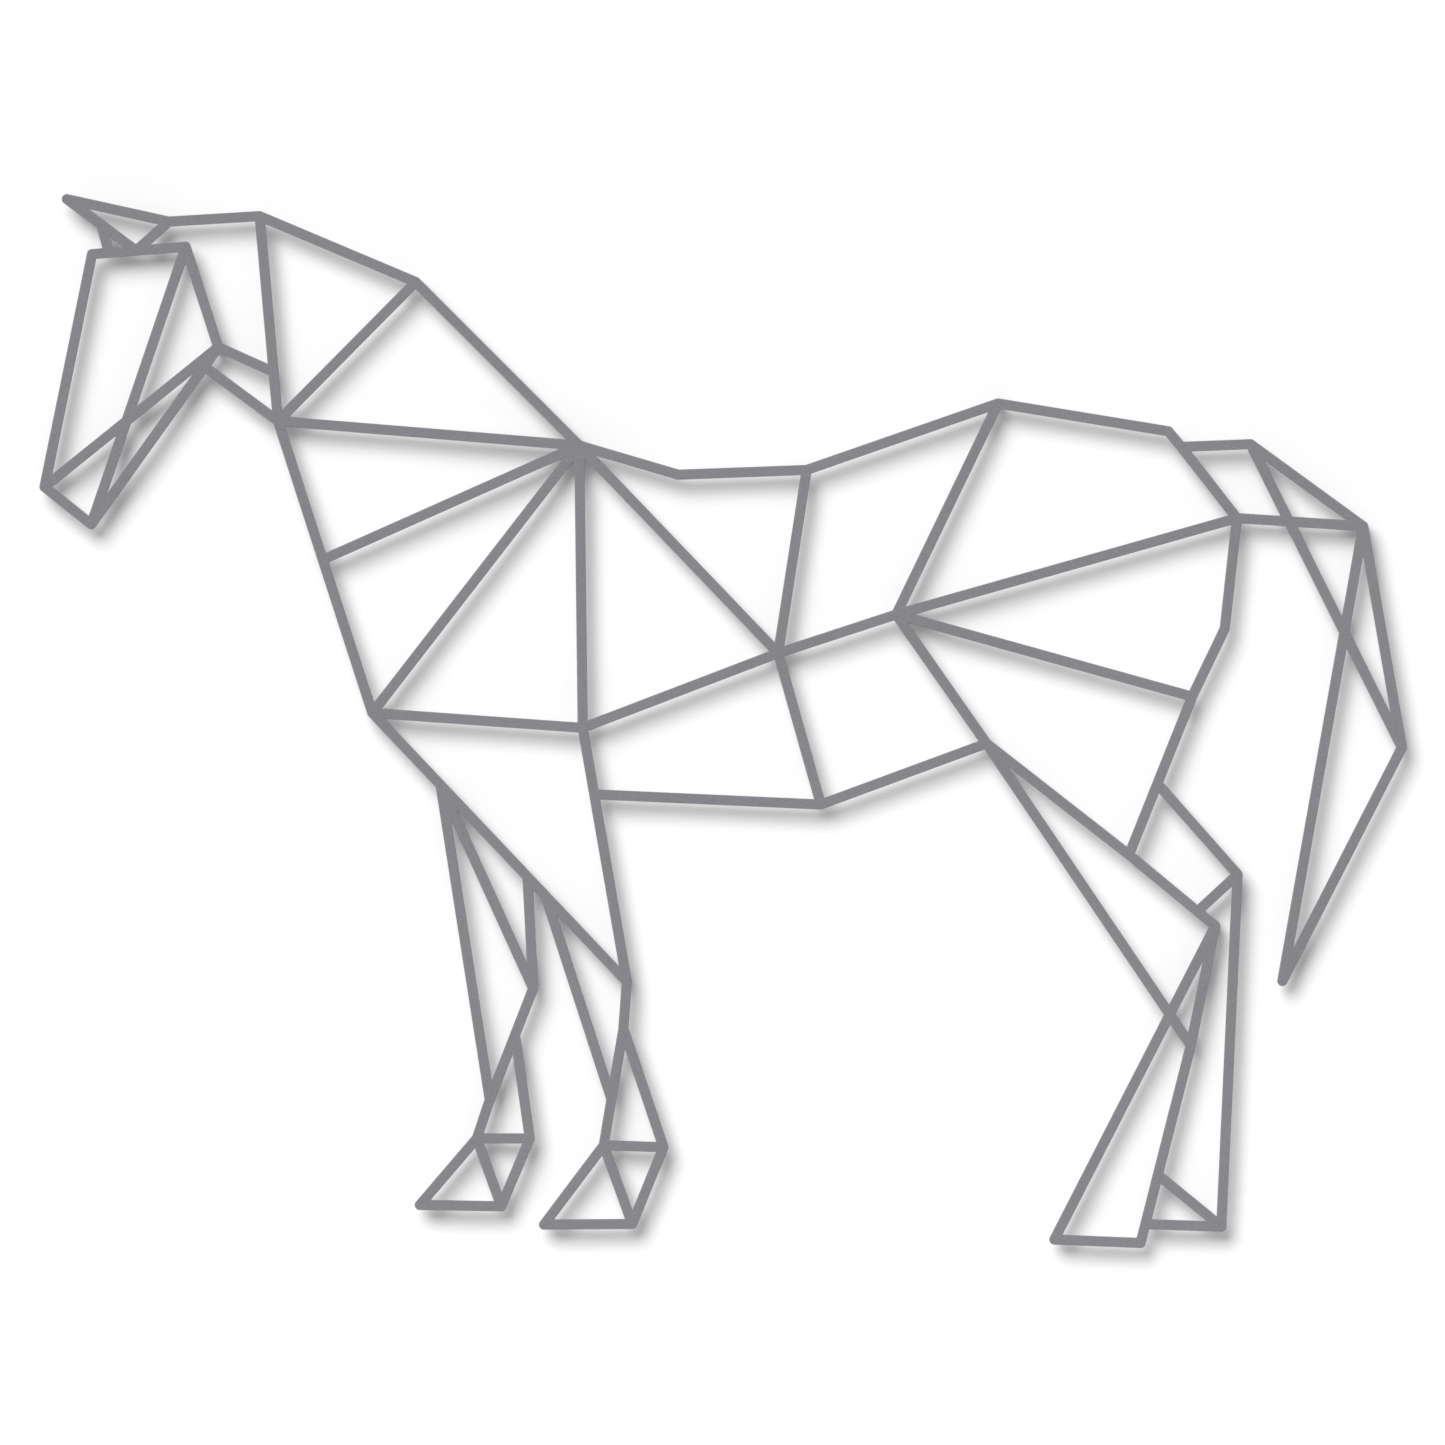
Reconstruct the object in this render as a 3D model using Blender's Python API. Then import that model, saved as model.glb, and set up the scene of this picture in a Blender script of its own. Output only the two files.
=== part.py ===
"""A geometric horse for a wall: one flat lattice of straight bars cut from steel sheet, held off the
wall by short round stand-offs. Metres, +Z up.

The horse is seen from -Y with its head towards -X. The wall is the plane y = 0, and the origin is
in the middle of the rear end of the stand-off behind the withers, where the neck meets the back.
"""
import math
from collections import Counter

import bmesh
import bpy
from mathutils import Vector
from mathutils.geometry import delaunay_2d_cdt

# the horse
HORSE_LENGTH = 0.907  # from the muzzle joint to the rearmost tail joint, between centre lines
DESIGN_UNITS = 1000  # the units of the joint places below in that length
BAR_WIDTH = 0.0068
SHEET_THICKNESS = 0.003

# the stand-offs
WALL_GAP = 0.012  # clear space between the wall and the rear face of the sheet
STANDOFF_DIAMETER = 0.006
STANDOFF_CHAMFER = 0.0005
STANDOFF_SIDES = 32
STANDOFF_SHARP_EDGE = math.radians(30)  # edges that turn more than this are shaded sharp
TOUCH_GAP = 0.0003  # between the sheet and each stand-off welded to it

# rounding of the lattice's outer corners
CORNER_STEP = math.radians(25)  # the most that one flat of a rounded corner turns
STRAIGHT = math.radians(0.5)  # bars that meet at less than this are one straight line
WELD = 1e-6  # corner points closer together than this are one point

# shade of the powder coat, as linear red, green and blue
COAT_COLOUR = (0.235, 0.235, 0.25)
COAT_ROUGHNESS = 0.5

# The joints where bars meet, each as (along, up) in thousandths of the horse's length: along from
# the muzzle towards the tail, and up from the heel of the lowest hoof.
JOINTS = {
    # ear and head
    "ear_tip": (16.5, 769),
    "ear_back": (91.5, 752.5),
    "brow": (35, 728.5),
    "temple": (104, 734),
    "muzzle": (0, 557),
    "chin": (34.5, 529.5),
    "jaw": (128, 660),
    "poll": (158.5, 756.5),
    "throat_latch": (172, 605.5),
    # neck and back
    "crest": (273.5, 708),
    "withers": (394, 587.5),
    "back": (467, 566),
    "loin": (561.5, 569.5),
    "croup": (702.5, 618.5),
    "rump": (828, 598),
    "dock": (837.5, 586.5),
    # chest, barrel and belly
    "chest": (241.5, 390.5),
    "girth": (396.5, 379.5),
    "barrel": (540.5, 434.5),
    "belly": (572, 323),
    "flank": (694, 368),
    "stifle": (627.5, 463),
    # hindquarters
    "buttock": (878.5, 534),
    "thigh": (869.5, 452.5),
    "gaskin": (845.5, 402.5),
    "gaskin_foot": (799, 286),
    # tail
    "tail_top": (888.5, 588.5),
    "tail_bend": (971.5, 528),
    "tail_rear": (1000, 365),
    "tail_tip": (912, 193),
    # far foreleg
    "far_knee": (360, 187.5),
    "far_cannon": (328, 105.5),
    "far_fetlock": (318.5, 77),
    "far_ergot": (357.5, 77),
    "far_toe": (276.5, 28),
    "far_heel": (336.5, 27),
    # near foreleg
    "near_knee": (429, 192.5),
    "near_cannon": (426.5, 158),
    "near_fetlock": (412, 72),
    "near_ergot": (456, 70.5),
    "near_toe": (368, 13.5),
    "near_heel": (433, 14),
    # near hind leg
    "hock": (862.5, 233.5),
    "shin_foot": (844.5, 145.5),
    "hind_heel": (807.5, 0),
    "hind_toe": (744, 2.5),
    # far hind leg
    "far_hock": (879, 271.5),
    "far_hind_heel": (867, 12),
}

# Places where a bar ends on the side of another: the two ends of the bar that carries it, and the
# share of the way from the first to the second.
SPLICES = {
    "ear_base": ("brow", "temple", 0.47),
    "ear_front": ("ear_tip", "ear_base", 0.5),
    "ear_front_foot": ("brow", "temple", 0.18),
    "throat": ("chin", "jaw", 0.89),
    "cheek_strap": ("poll", "throat_latch", 0.76),
    "shoulder": ("throat_latch", "chest", 0.475),
    "elbow": ("girth", "near_knee", 0.262),
    "gaskin_split": ("gaskin", "gaskin_foot", 0.55),
    "far_elbow": ("chest", "near_knee", 0.268),
    "far_forearm": ("chest", "near_knee", 0.61),
    "near_forearm": ("chest", "near_knee", 0.68),
    "far_cannon_split": ("far_knee", "far_cannon", 0.417),
    "near_cannon_split": ("near_cannon", "near_fetlock", 0.607),
    "far_hock_foot": ("gaskin_foot", "hock", 0.795),
    "far_hind_toe": ("shin_foot", "hind_heel", 0.905),
    "far_pastern": ("shin_foot", "hind_heel", 0.655),
}

# Runs of bars from joint to joint. A run that passes a splice goes straight through it.
RUNS = [
    # ear and head
    ["ear_base", "ear_tip", "ear_back", "ear_base"],
    ["ear_front", "ear_front_foot"],
    ["ear_back", "poll"],
    ["jaw", "temple", "brow", "muzzle", "chin", "jaw"],
    ["temple", "chin"],
    ["muzzle", "jaw", "cheek_strap"],
    ["throat", "throat_latch"],
    # neck and back
    ["poll", "crest", "withers", "back", "loin", "croup", "rump", "dock", "buttock"],
    ["poll", "throat_latch", "crest"],
    # shoulder and barrel
    ["withers", "throat_latch", "chest", "withers", "girth", "chest"],
    ["withers", "shoulder"],
    ["withers", "barrel", "loin"],
    ["girth", "barrel", "belly", "elbow"],
    ["belly", "flank"],
    # hindquarters
    ["barrel", "stifle", "croup"],
    ["flank", "stifle", "buttock"],
    ["stifle", "gaskin"],
    ["buttock", "thigh", "gaskin", "gaskin_foot"],
    # tail
    ["dock", "tail_top", "tail_bend", "tail_rear", "tail_tip", "tail_bend", "buttock"],
    ["tail_top", "tail_rear"],
    # far foreleg
    ["far_elbow", "far_knee", "far_cannon", "far_elbow"],
    ["far_forearm", "far_knee"],
    ["far_cannon", "far_fetlock", "far_toe", "far_heel", "far_ergot", "far_cannon_split"],
    ["far_heel", "far_fetlock", "far_ergot"],
    # near foreleg
    ["chest", "near_knee", "girth"],
    ["near_knee", "near_cannon", "near_fetlock", "near_toe", "near_heel", "near_ergot", "near_cannon"],
    ["near_forearm", "near_cannon_split"],
    ["near_heel", "near_fetlock", "near_ergot"],
    # near hind leg
    ["flank", "gaskin_foot", "hock", "shin_foot", "hind_heel", "hind_toe", "hock"],
    ["flank", "shin_foot"],
    # far hind leg
    ["gaskin_split", "far_hock", "far_hind_heel", "far_hind_toe"],
    ["far_hock", "far_hock_foot"],
    ["far_pastern", "far_hind_heel"],
]

# The joints with a stand-off behind them, the first of them the one that the origin is at.
STANDOFF_JOINTS = ["withers", "croup", "jaw", "tail_bend", "near_knee", "hock"]


def design_point(name):
    """A joint or splice in thousandths of the horse's length."""
    if name in JOINTS:
        return Vector(JOINTS[name])
    first, second, share = SPLICES[name]
    return design_point(first).lerp(design_point(second), share)


def wall_point(name):
    """A joint or splice as (x, z) in metres from the origin."""
    return (design_point(name) - design_point(STANDOFF_JOINTS[0])) * HORSE_LENGTH / DESIGN_UNITS


def bar_list():
    """Every bar as the names of its two ends."""
    return [pair for run in RUNS for pair in zip(run, run[1:])]


def turned(direction, angle):
    """A flat vector turned anticlockwise by an angle."""
    cosine, sine = math.cos(angle), math.sin(angle)
    return Vector((direction.x * cosine - direction.y * sine, direction.x * sine + direction.y * cosine))


def bar_strip(start, end):
    """The four corners of a bar between two points, with square ends."""
    along = (end - start).normalized()
    side = turned(along, math.pi / 2) * BAR_WIDTH / 2
    return [start - side, end - side, end + side, start + side]


def rounded_corner(centre, first, second):
    """The piece that rounds the outside of a joint, between the bars that leave it in the directions
    first and second, where second is reached from first by turning anticlockwise through more than
    half a turn. None where that side is straight or bends inwards."""
    turn = (math.atan2(second.y, second.x) - math.atan2(first.y, first.x)) % (2 * math.pi) - math.pi
    if turn < STRAIGHT:
        return None
    half = BAR_WIDTH / 2
    outward = turned(first, math.pi / 2)
    flats = math.ceil(turn / CORNER_STEP)
    step = turn / flats
    reach = half / math.cos(step / 2)
    arc = [centre + turned(outward, step * (i + 0.5)) * reach for i in range(flats)]
    return [centre, centre + outward * half, *arc, centre + turned(outward, turn) * half]


def lattice_shapes():
    """The flat shapes that together cover the lattice: a strip for each bar, and a rounded corner for
    each joint whose bars all lie within half a turn."""
    shapes = []
    leaving = {name: [] for name in JOINTS}
    for first, second in bar_list():
        start, end = wall_point(first), wall_point(second)
        shapes.append(bar_strip(start, end))
        for name, direction in ((first, end - start), (second, start - end)):
            if name in leaving:
                leaving[name].append(direction.normalized())
    for name, directions in leaving.items():
        directions.sort(key=lambda d: math.atan2(d.y, d.x))
        for first, second in zip(directions, directions[1:] + directions[:1]):
            corner = rounded_corner(wall_point(name), first, second)
            if corner:
                shapes.append(corner)
    return shapes


def outline_of(shapes):
    """Points and edges of the outline around everything that the flat shapes cover together."""
    corners, faces = [], []
    for shape in shapes:
        faces.append(list(range(len(corners), len(corners) + len(shape))))
        corners += shape
    points, _, cells, _, _, covered_by = delaunay_2d_cdt(corners, [], faces, 0, WELD, True)
    sides = Counter()
    for cell, cover in zip(cells, covered_by):
        if cover:
            sides.update(frozenset(side) for side in zip(cell, cell[1:] + cell[:1]))
    return points, [tuple(side) for side, uses in sides.items() if uses == 1]


def without_straight_points(points, edges):
    """The same outline as closed loops of points, without the points on a straight stretch."""
    beside = {}
    for a, b in edges:
        beside.setdefault(a, []).append(b)
        beside.setdefault(b, []).append(a)
    loops = []
    while beside:
        start = next(iter(beside))
        loop = [start]
        before, here = start, beside[start][0]
        while here != start:
            loop.append(here)
            one, other = beside[here]
            after = other if one == before else one
            before = here
            here = after
        for point in loop:
            del beside[point]
        corners = []
        for i, here in enumerate(loop):
            into = (points[here] - points[loop[i - 1]]).normalized()
            out = (points[loop[(i + 1) % len(loop)]] - points[here]).normalized()
            if abs(into.x * out.y - into.y * out.x) > math.sin(STRAIGHT / 2):
                corners.append(points[here])
        loops.append(corners)
    return loops


def coat_material(name):
    """Grey powder coat."""
    material = bpy.data.materials.new(name)
    material.use_nodes = True
    shader = material.node_tree.nodes["Principled BSDF"]
    shader.inputs["Base Color"].default_value = (*COAT_COLOUR, 1)
    shader.inputs["Roughness"].default_value = COAT_ROUGHNESS
    shader.inputs["Metallic"].default_value = 0
    return material


def add_object(name, mesh, location, parent):
    """An object with its own coat, under the parent."""
    item = bpy.data.objects.new(name, mesh)
    item.data.materials.append(coat_material(name + "_coat"))
    item.location = location
    item.parent = parent
    bpy.context.scene.collection.objects.link(item)
    return item


def sheet_mesh():
    """The lattice as flat sheet, its rear face at y = 0 and its front face a thickness before it."""
    shape = bmesh.new()
    for loop in without_straight_points(*outline_of(lattice_shapes())):
        corners = [shape.verts.new((point.x, 0, point.y)) for point in loop]
        for a, b in zip(corners, corners[1:] + corners[:1]):
            shape.edges.new((a, b))
    bmesh.ops.triangle_fill(shape, edges=shape.edges[:], use_beauty=True, normal=(0, 1, 0))
    front = bmesh.ops.extrude_face_region(shape, geom=shape.faces[:])
    moved = [item for item in front["geom"] if isinstance(item, bmesh.types.BMVert)]
    bmesh.ops.translate(shape, verts=moved, vec=(0, -SHEET_THICKNESS, 0))
    bmesh.ops.recalc_face_normals(shape, faces=shape.faces[:])
    mesh = bpy.data.meshes.new("horse")
    shape.to_mesh(mesh)
    shape.free()
    return mesh


def standoff_mesh():
    """A round stand-off along -Y from its chamfered rear end at y = 0."""
    radius = STANDOFF_DIAMETER / 2
    length = WALL_GAP - TOUCH_GAP
    profile = [(radius - STANDOFF_CHAMFER, 0), (radius, STANDOFF_CHAMFER), (radius, length)]
    shape = bmesh.new()
    rings = []
    for ring_radius, distance in profile:
        ring = []
        for i in range(STANDOFF_SIDES):
            angle = 2 * math.pi * i / STANDOFF_SIDES
            ring.append(
                shape.verts.new((ring_radius * math.cos(angle), -distance, ring_radius * math.sin(angle)))
            )
        rings.append(ring)
    for lower, upper in zip(rings, rings[1:]):
        for i in range(STANDOFF_SIDES):
            j = (i + 1) % STANDOFF_SIDES
            shape.faces.new((lower[i], lower[j], upper[j], upper[i]))
    shape.faces.new(rings[0])
    shape.faces.new(rings[-1])
    bmesh.ops.recalc_face_normals(shape, faces=shape.faces[:])
    mesh = bpy.data.meshes.new("standoff")
    shape.to_mesh(mesh)
    shape.free()
    mesh.shade_smooth()
    mesh.set_sharp_from_angle(angle=STANDOFF_SHARP_EDGE)
    return mesh


for old in list(bpy.data.objects):
    bpy.data.objects.remove(old, do_unlink=True)

sculpture = bpy.data.objects.new("sculpture", None)
bpy.context.scene.collection.objects.link(sculpture)
add_object("horse", sheet_mesh(), (0, -WALL_GAP, 0), sculpture)
for joint in STANDOFF_JOINTS:
    place = wall_point(joint)
    add_object("standoff_" + joint, standoff_mesh(), (place.x, 0, place.y), sculpture)
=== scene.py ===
"""Looks of the geometric wall horse: grey powder coat on cut steel sheet, its soft shadow on a white
wall, and the camera of the photograph. Metres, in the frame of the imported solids.

The horse is seen from -Y with its head towards -X, the wall is the plane y = 0, and +Z is up.
"""
import math

import bmesh
import bpy
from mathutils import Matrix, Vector


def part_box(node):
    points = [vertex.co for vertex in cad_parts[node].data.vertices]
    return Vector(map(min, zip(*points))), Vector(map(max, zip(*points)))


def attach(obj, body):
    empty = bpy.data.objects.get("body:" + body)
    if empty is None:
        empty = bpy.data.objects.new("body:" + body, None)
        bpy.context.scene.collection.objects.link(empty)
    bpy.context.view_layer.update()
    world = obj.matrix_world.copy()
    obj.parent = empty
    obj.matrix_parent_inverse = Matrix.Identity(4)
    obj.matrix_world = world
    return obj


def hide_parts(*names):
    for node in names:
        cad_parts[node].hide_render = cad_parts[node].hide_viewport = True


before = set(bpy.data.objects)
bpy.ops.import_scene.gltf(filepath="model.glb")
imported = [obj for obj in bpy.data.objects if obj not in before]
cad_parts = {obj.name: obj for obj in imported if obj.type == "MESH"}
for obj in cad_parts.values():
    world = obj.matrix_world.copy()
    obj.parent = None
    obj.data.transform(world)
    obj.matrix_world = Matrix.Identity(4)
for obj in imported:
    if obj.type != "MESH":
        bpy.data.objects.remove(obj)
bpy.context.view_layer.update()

# directions
TO_WALL = (0, 1, 0)
FROM_WALL = (0, -1, 0)

# framing of the photograph, on the plane of the sheet's front face
VIEW_WIDTH = 0.9655
VIEW_CENTRE_X = 0.0957
VIEW_CENTRE_Z = -0.1851
CAMERA_LENS = 450  # millimetres, long enough that the bars' sides stay hidden
CAMERA_SENSOR = 36

# the coat's shade and gloss, and how far they vary
COAT_COLOUR = (0.186, 0.183, 0.199)
COAT_ROUGHNESS = 0.62
COAT_SPECULAR = 0.4
CLOUD_SHARE = 0.03  # slow clouding, as a share of the shade
FLECK_SHARE = 0.08  # flecks of the powder, as a share of the shade
PATCH_SPREAD = 0.05  # patches of more and less gloss, in roughness
RIM_PALER = 0.05  # how much paler the coat is where it thins along the edges
RIM_SMOOTHER = 0.08  # how much less rough it is there

# the coat's relief
PEEL_HEIGHT = 0.00014  # orange peel of the sprayed powder
GRAIN_HEIGHT = 0.000016
CUT_HEIGHT = 0.00003  # marks of the cut that show through the coat on the edge faces
CUT_STRETCH = 0.06  # their waves through the sheet's thickness, as a share of those along the edge
EDGE_FACE_LIMIT = 0.5  # an edge face is one whose normal has less of Y than this

# the coat's noises, in waves a metre
CLOUD_WAVES = 9
PATCH_WAVES = 60
PEEL_WAVES = 620
FLECK_WAVES = 850
CUT_WAVES = 2600
GRAIN_WAVES = 3200
CLOUD_DETAIL = 3  # layers of finer waves on top of the first, where the others have one
PATCH_DETAIL = 2
NOISE_LOW = 0.3  # noise values lie mostly between this and the next value
NOISE_HIGH = 0.7

# the sheet's edges
EDGE_RADIUS = 0.00035  # rounding of the cut edges under the coat
EDGE_STEPS = 3  # flats in a quarter turn of that rounding
RIM_WIDTH = 0.0011  # strip along the edges where the coat is thinner
MITRE_LIMIT = 1.6  # a rim corner that would reach further in than this many insets is rounded
MITRE_STEP = math.radians(30)  # the most that one flat of such a rounded rim corner turns
SHARP_TURN = math.radians(50)  # edges that turn more than this are shaded sharp
FRONT_NORMAL = -0.99  # a face of the sheet's front has a normal whose y is below this
SPOT_DIGITS = 6  # corners of the solid that agree to this many decimals of a metre are one corner
MERGE = 1e-7  # corners of the coated sheet that are closer than this become one

# the stand-offs
POST_SIDES = 48
POST_CHAMFER = 0.0005
POST_EASE_WIDTH = EDGE_RADIUS / 2  # ring inside the chamfer where the end face falls away a little
POST_EASE_DEPTH = EDGE_RADIUS / 8
POST_RIM_END = POST_CHAMFER * 2  # where the thin coat at the wall end stops, from the wall
WELD_LEG = 0.0003  # how far the weld spreads out round the post, on the sheet's rear face
WELD_STEPS = 4
WELD_RIM = 0.5  # how thin the coat is on the weld, where 1 is as thin as on an edge
WELD_RIM_END = WELD_LEG * 3  # where that stops, from the sheet

# the wall and the floor that meets it
WALL_HALF_WIDTH = 5
WALL_TOP = 3
FLOOR_LEVEL = -2.2
FLOOR_DEPTH = 1.6
COVE_RADIUS = 0.25
COVE_STEPS = 16
WALL_COLOUR = (0.9, 0.9, 0.9, 1)
WALL_ROUGHNESS = 0.9
WALL_SPECULAR = 0.1

# light
KEY_STRENGTH = 2.93
KEY_SPREAD = math.radians(40)
KEY_DIRECTION = Vector((0.445, 1, -0.68))
KEY_DISTANCE = 3  # only where the lamp is drawn, because its light is the same from any distance
FILL_COLOUR = (1, 1, 1, 1)
FILL_LEVEL = 0.373  # even light from all round
BACKDROP_LEVEL = 0.8  # how pale the room is where no wall or floor is seen


def new_material(name):
    """A new material, its node tree and its Principled shader."""
    material = bpy.data.materials.new(name)
    material.use_nodes = True
    tree = material.node_tree
    return material, tree, tree.nodes["Principled BSDF"]


def add_node(tree, kind, **settings):
    """A node with some of its properties set."""
    node = tree.nodes.new(kind)
    for key, value in settings.items():
        setattr(node, key, value)
    return node


def noise(tree, place, waves, detail=1):
    """Noise at so many waves a metre, with layers of finer waves on top, as a 0 to 1 value."""
    node = add_node(tree, "ShaderNodeTexNoise")
    node.inputs["Scale"].default_value = waves
    node.inputs["Detail"].default_value = detail
    tree.links.new(place, node.inputs["Vector"])
    return node.outputs["Fac"]


def spread(tree, value, middle, reach):
    """A noise value, stretched to run from a reach below the middle to a reach above it."""
    node = add_node(tree, "ShaderNodeMapRange")
    node.inputs["From Min"].default_value = NOISE_LOW
    node.inputs["From Max"].default_value = NOISE_HIGH
    node.inputs["To Min"].default_value = middle - reach
    node.inputs["To Max"].default_value = middle + reach
    tree.links.new(value, node.inputs["Value"])
    return node.outputs["Result"]


def maths(tree, operation, first, second=0):
    """A Math node on one or two sockets or numbers."""
    node = add_node(tree, "ShaderNodeMath", operation=operation)
    for socket, value in zip(node.inputs, (first, second)):
        if isinstance(value, (int, float)):
            socket.default_value = value
        else:
            tree.links.new(value, socket)
    return node.outputs["Value"]


def bump(tree, height, distance, below=None):
    """A bump of a height in metres, on top of another bump."""
    node = add_node(tree, "ShaderNodeBump")
    node.inputs["Distance"].default_value = distance
    tree.links.new(height, node.inputs["Height"])
    if below:
        tree.links.new(below, node.inputs["Normal"])
    return node.outputs["Normal"]


def coat_shade(tree, place, rim):
    """The coat's colour: faint clouding, flecks of powder, and a slightly paler rim."""
    cloud = spread(tree, noise(tree, place, CLOUD_WAVES, CLOUD_DETAIL), 1, CLOUD_SHARE)
    fleck = spread(tree, noise(tree, place, FLECK_WAVES), 1, FLECK_SHARE)
    paler = maths(tree, "ADD", maths(tree, "MULTIPLY", rim, RIM_PALER), 1)
    colour = add_node(tree, "ShaderNodeVectorMath", operation="SCALE")
    colour.inputs[0].default_value = COAT_COLOUR
    shade = maths(tree, "MULTIPLY", maths(tree, "MULTIPLY", cloud, fleck), paler)
    tree.links.new(shade, colour.inputs["Scale"])
    return colour.outputs["Vector"]


def coat_roughness(tree, place, rim):
    """The coat's roughness: patches of more and less gloss, and a smoother rim."""
    patch = spread(tree, noise(tree, place, PATCH_WAVES, PATCH_DETAIL), COAT_ROUGHNESS, PATCH_SPREAD)
    return maths(tree, "SUBTRACT", patch, maths(tree, "MULTIPLY", rim, RIM_SMOOTHER))


def coat_relief(tree, place):
    """The coat's relief: orange peel and a fine grain, over the marks of the cut on the edge faces."""
    facing = add_node(tree, "ShaderNodeSeparateXYZ")
    tree.links.new(add_node(tree, "ShaderNodeNewGeometry").outputs["Normal"], facing.inputs["Vector"])
    on_edge_face = maths(tree, "LESS_THAN", maths(tree, "ABSOLUTE", facing.outputs["Y"]), EDGE_FACE_LIMIT)
    along_cut = add_node(tree, "ShaderNodeMapping")
    along_cut.inputs["Scale"].default_value = (1, CUT_STRETCH, 1)
    tree.links.new(place, along_cut.inputs["Vector"])
    cut = maths(tree, "MULTIPLY", noise(tree, along_cut.outputs["Vector"], CUT_WAVES), on_edge_face)
    cut_marks = bump(tree, cut, CUT_HEIGHT)
    peel = bump(tree, noise(tree, place, PEEL_WAVES), PEEL_HEIGHT, cut_marks)
    return bump(tree, noise(tree, place, GRAIN_WAVES), GRAIN_HEIGHT, peel)


def powder_coat():
    """Satin grey powder coat, thinner along the cut edges."""
    material, tree, shader = new_material("grey_powder_coat")
    place = add_node(tree, "ShaderNodeTexCoord").outputs["Object"]
    rim = add_node(tree, "ShaderNodeAttribute", attribute_name="rim").outputs["Fac"]
    tree.links.new(coat_shade(tree, place, rim), shader.inputs["Base Color"])
    tree.links.new(coat_roughness(tree, place, rim), shader.inputs["Roughness"])
    tree.links.new(coat_relief(tree, place), shader.inputs["Normal"])
    shader.inputs["Metallic"].default_value = 0
    shader.inputs["Specular IOR Level"].default_value = COAT_SPECULAR
    return material


def around(ring):
    """Each corner of a closed ring with the one after it."""
    return zip(ring, ring[1:] + ring[:1])


def outline_loops(mesh):
    """The loops around the flat front face of the sheet, as points (x, z) with the metal on their left."""
    directed = set()
    spots = {}
    for face in mesh.polygons:
        if face.normal.y > FRONT_NORMAL:
            continue
        keys = []
        for index in face.vertices:
            point = mesh.vertices[index].co
            key = (round(point.x, SPOT_DIGITS), round(point.z, SPOT_DIGITS))
            spots[key] = Vector((point.x, point.z))
            keys.append(key)
        directed.update(around(keys))
    following = {a: b for a, b in directed if (b, a) not in directed}
    loops = []
    while following:
        start = next(iter(following))
        loop = [start]
        here = following.pop(start)
        while here != start:
            loop.append(here)
            here = following.pop(here)
        loops.append([spots[key] for key in loop])
    return loops


def inward_rays(loop):
    """For each corner of a loop, the point and the way that it moves when the outline shrinks into the
    metal by one metre. A corner whose mitre would reach too far is given as an arc of several rays."""
    rays = []
    for i, point in enumerate(loop):
        into = (point - loop[i - 1]).normalized()
        out = (loop[(i + 1) % len(loop)] - point).normalized()
        first = Vector((-into.y, into.x))
        second = Vector((-out.y, out.x))
        turn = math.atan2(into.x * out.y - into.y * out.x, into.dot(out))
        reach = 1 / math.cos(turn / 2)
        if turn > 0 or reach < MITRE_LIMIT:
            rays.append((point, (first + second).normalized() * reach))
            continue
        flats = math.ceil(-turn / MITRE_STEP)
        for k in range(flats + 1):
            angle = math.atan2(first.y, first.x) + turn * k / flats
            rays.append((point, Vector((math.cos(angle), math.sin(angle)))))
    return rays


def quarter_round(radius, steps):
    """A quarter circle that meets two square faces. Each point is its distance from the first face, where
    the curve starts, and from the second."""
    points = []
    for k in range(steps + 1):
        angle = math.pi / 2 * k / steps
        points.append((radius * (1 - math.cos(angle)), radius * (1 - math.sin(angle))))
    return points


def rounded_profile(rear, front):
    """The sheet's edge from the flat rear face round to the flat front face. Each point is the distance
    into the metal, y, and how thin the coat is."""
    quarter = quarter_round(EDGE_RADIUS, EDGE_STEPS)
    profile = [(RIM_WIDTH, rear, 0.0)]
    profile += [(inset, rear - drop, 1.0) for inset, drop in reversed(quarter)]
    profile += [(inset, front + drop, 1.0) for inset, drop in quarter]
    profile.append((RIM_WIDTH, front, 0.0))
    return profile


def skin(shape, rings):
    """Faces from each ring of corners to the next."""
    for ring, following in zip(rings, rings[1:]):
        for (a, b), (c, d) in zip(around(ring), around(following)):
            shape.faces.new((a, b, d, c))


def fill(shape, borders, facing):
    """Faces over the flat area between closed borders, which leave a hole inside each inner border."""
    edges = []
    for border in borders:
        for a, b in around(border):
            edges.append(shape.edges.get((a, b)) or shape.edges.new((a, b)))
    bmesh.ops.triangle_fill(shape, edges=edges, use_beauty=True, normal=facing)


def sheet_piece(coat):
    """The sheet with its cut edges rounded by the coat, to the same outline and thickness as the solid."""
    low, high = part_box("horse")
    profile = rounded_profile(high.y, low.y)
    shape = bmesh.new()
    rim = shape.verts.layers.float.new("rim")
    rear_borders = []
    front_borders = []
    for loop in outline_loops(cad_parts["horse"].data):
        rays = inward_rays(loop)
        rings = []
        for inset, y, thin in profile:
            ring = []
            for point, ray in rays:
                spot = point + ray * inset
                vertex = shape.verts.new((spot.x, y, spot.y))
                vertex[rim] = thin
                ring.append(vertex)
            rings.append(ring)
        skin(shape, rings)
        rear_borders.append(rings[0])
        front_borders.append(rings[-1])
    fill(shape, rear_borders, TO_WALL)
    fill(shape, front_borders, FROM_WALL)
    bmesh.ops.remove_doubles(shape, verts=shape.verts, dist=MERGE)
    bmesh.ops.dissolve_degenerate(shape, edges=shape.edges, dist=MERGE)
    bmesh.ops.recalc_face_normals(shape, faces=shape.faces)
    return coated_object("horse_sheet", shape, coat)


def post_nodes():
    """The names of the stand-offs' solids."""
    return [node for node in sorted(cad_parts) if node.startswith("standoff")]


def post_place(node):
    """The middle of a stand-off and its radius."""
    low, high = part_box(node)
    return (low + high) / 2, (high.x - low.x) / 2


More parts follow.
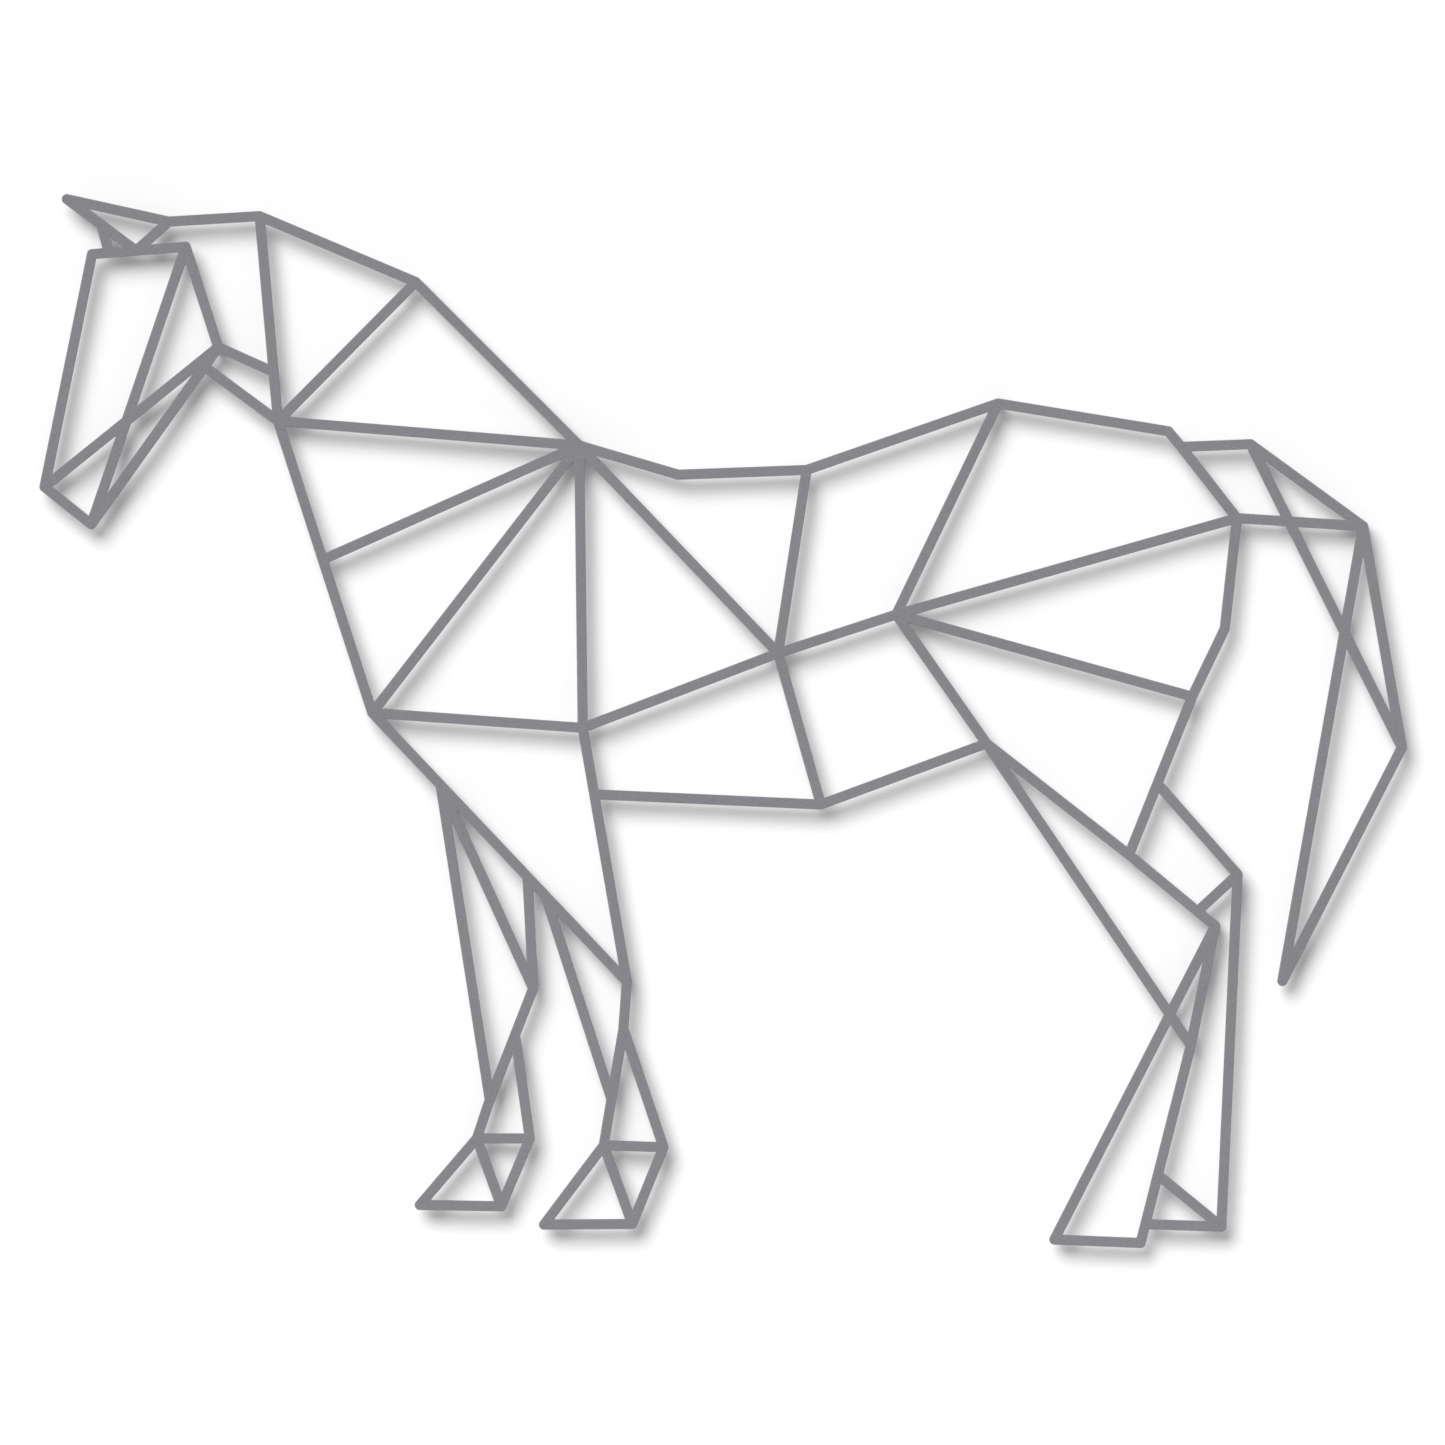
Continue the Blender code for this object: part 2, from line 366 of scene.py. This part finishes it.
def round_ring(shape, middle, radius, y):
    """A ring of corners around a post's middle line, in an upright plane."""
    ring = []
    for i in range(POST_SIDES):
        angle = 2 * math.pi * i / POST_SIDES
        x = middle.x + radius * math.cos(angle)
        ring.append(shape.verts.new((x, y, middle.z + radius * math.sin(angle))))
    return ring


def post_profile(radius, wall_end, sheet_rear):
    """A post's side from its wall end to the foot of its weld. Each point is the distance from the middle
    line, y, and how thin the coat is."""
    profile = [
        (radius - POST_CHAMFER - POST_EASE_WIDTH, wall_end, 0.0),
        (radius - POST_CHAMFER, wall_end - POST_EASE_DEPTH, 1.0),
        (radius, wall_end - POST_CHAMFER, 1.0),
        (radius, wall_end - POST_RIM_END, 0.0),
        (radius, sheet_rear + WELD_RIM_END, 0.0),
    ]
    for out, rise in quarter_round(WELD_LEG, WELD_STEPS):
        profile.append((radius + out, sheet_rear + rise, WELD_RIM))
    return profile


def post_piece(node, coat):
    """One stand-off: a round post, chamfered at the wall, with a small weld where it meets the sheet."""
    middle, radius = post_place(node)
    wall_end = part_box(node)[1].y
    sheet_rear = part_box("horse")[1].y
    shape = bmesh.new()
    rim = shape.verts.layers.float.new("rim")
    rings = []
    for ring_radius, y, thin in post_profile(radius, wall_end, sheet_rear):
        ring = round_ring(shape, middle, ring_radius, y)
        for vertex in ring:
            vertex[rim] = thin
        rings.append(ring)
    skin(shape, rings)
    shape.faces.new(rings[0])
    shape.faces.new(rings[-1])
    bmesh.ops.recalc_face_normals(shape, faces=shape.faces)
    return coated_object(node.replace("standoff", "post"), shape, coat)


def coated_object(name, shape, coat):
    """The finished shape as an object, smooth round its edges and flat on its faces."""
    mesh = bpy.data.meshes.new(name)
    shape.to_mesh(mesh)
    shape.free()
    mesh.shade_smooth()
    mesh.set_sharp_from_angle(angle=SHARP_TURN)
    mesh.materials.append(coat)
    piece = bpy.data.objects.new(name, mesh)
    bpy.context.scene.collection.objects.link(piece)
    weighted = piece.modifiers.new("flat_faces", "WEIGHTED_NORMAL")
    weighted.keep_sharp = True
    return piece


def wall_paint():
    """White wall paint, shown only on the side that faces the room, so that views from behind see the
    back of the horse."""
    material, tree, shader = new_material("wall_paint")
    shader.inputs["Base Color"].default_value = WALL_COLOUR
    shader.inputs["Roughness"].default_value = WALL_ROUGHNESS
    shader.inputs["Specular IOR Level"].default_value = WALL_SPECULAR
    geometry = add_node(tree, "ShaderNodeNewGeometry")
    clear = add_node(tree, "ShaderNodeBsdfTransparent")
    mix = add_node(tree, "ShaderNodeMixShader")
    tree.links.new(geometry.outputs["Backfacing"], mix.inputs["Fac"])
    tree.links.new(shader.outputs["BSDF"], mix.inputs[1])
    tree.links.new(clear.outputs["BSDF"], mix.inputs[2])
    tree.links.new(mix.outputs["Shader"], tree.nodes["Material Output"].inputs["Surface"])
    return material


def wall_section():
    """The wall and the floor seen from the side, as (y, z): the wall's top, the cove, the floor's front."""
    section = [(0, WALL_TOP)]
    section += [(-out, FLOOR_LEVEL + rise) for out, rise in quarter_round(COVE_RADIUS, COVE_STEPS)]
    section.append((-FLOOR_DEPTH, FLOOR_LEVEL))
    return section


def wall_and_floor():
    """The wall, and the floor that it meets in a cove. A hole in the wall behind each post, hidden by
    the post from the front, lets light reach the post's end in views from behind."""
    shape = bmesh.new()
    sides = []
    for x in (-WALL_HALF_WIDTH, WALL_HALF_WIDTH):
        sides.append([shape.verts.new((x, y, z)) for y, z in wall_section()])
    left, right = sides
    for i in range(1, len(left) - 1):
        face = shape.faces.new((left[i], left[i + 1], right[i + 1], right[i]))
        face.smooth = True
    borders = [[left[0], left[1], right[1], right[0]]]
    for node in post_nodes():
        middle, radius = post_place(node)
        borders.append(round_ring(shape, middle, radius - POST_CHAMFER, y=0))
    fill(shape, borders, FROM_WALL)
    mesh = bpy.data.meshes.new("wall_and_floor")
    shape.to_mesh(mesh)
    shape.free()
    mesh.materials.append(wall_paint())
    backdrop = bpy.data.objects.new("wall_and_floor", mesh)
    bpy.context.scene.collection.objects.link(backdrop)


def add_key_light():
    """One soft key from the upper left, in front."""
    key = bpy.data.lights.new("key", "SUN")
    key.energy = KEY_STRENGTH
    key.angle = KEY_SPREAD
    lamp = bpy.data.objects.new("key", key)
    lamp.rotation_mode = "QUATERNION"
    lamp.rotation_quaternion = KEY_DIRECTION.to_track_quat("-Z", "Y")
    lamp.location = -KEY_DIRECTION * KEY_DISTANCE
    bpy.context.scene.collection.objects.link(lamp)


def add_room():
    """An even fill from all round, and a paler room where one looks past the wall and the floor."""
    world = bpy.data.worlds.new("room")
    world.use_nodes = True
    tree = world.node_tree
    seen = add_node(tree, "ShaderNodeLightPath").outputs["Is Camera Ray"]
    level = maths(tree, "ADD", maths(tree, "MULTIPLY", seen, BACKDROP_LEVEL - FILL_LEVEL), FILL_LEVEL)
    background = tree.nodes["Background"]
    background.inputs["Color"].default_value = FILL_COLOUR
    tree.links.new(level, background.inputs["Strength"])
    bpy.context.scene.world = world


def place_camera():
    """The photograph's view: square on to the wall, from far enough to be nearly without perspective."""
    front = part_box("horse")[0].y
    data = bpy.data.cameras.new("camera")
    data.lens = CAMERA_LENS
    data.sensor_width = CAMERA_SENSOR
    camera = bpy.data.objects.new("camera", data)
    distance = VIEW_WIDTH * CAMERA_LENS / CAMERA_SENSOR
    camera.location = (VIEW_CENTRE_X, front - distance, VIEW_CENTRE_Z)
    camera.rotation_euler = (math.pi / 2, 0, 0)
    bpy.context.scene.collection.objects.link(camera)
    bpy.context.scene.camera = camera


coat = powder_coat()
sheet = sheet_piece(coat)
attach(sheet, "root")
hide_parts("horse")
for node in post_nodes():
    post = post_piece(node, coat)
    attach(post, "root")
    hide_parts(node)
wall_and_floor()
add_key_light()
add_room()
place_camera()
bpy.context.scene.view_settings.view_transform = "Standard"
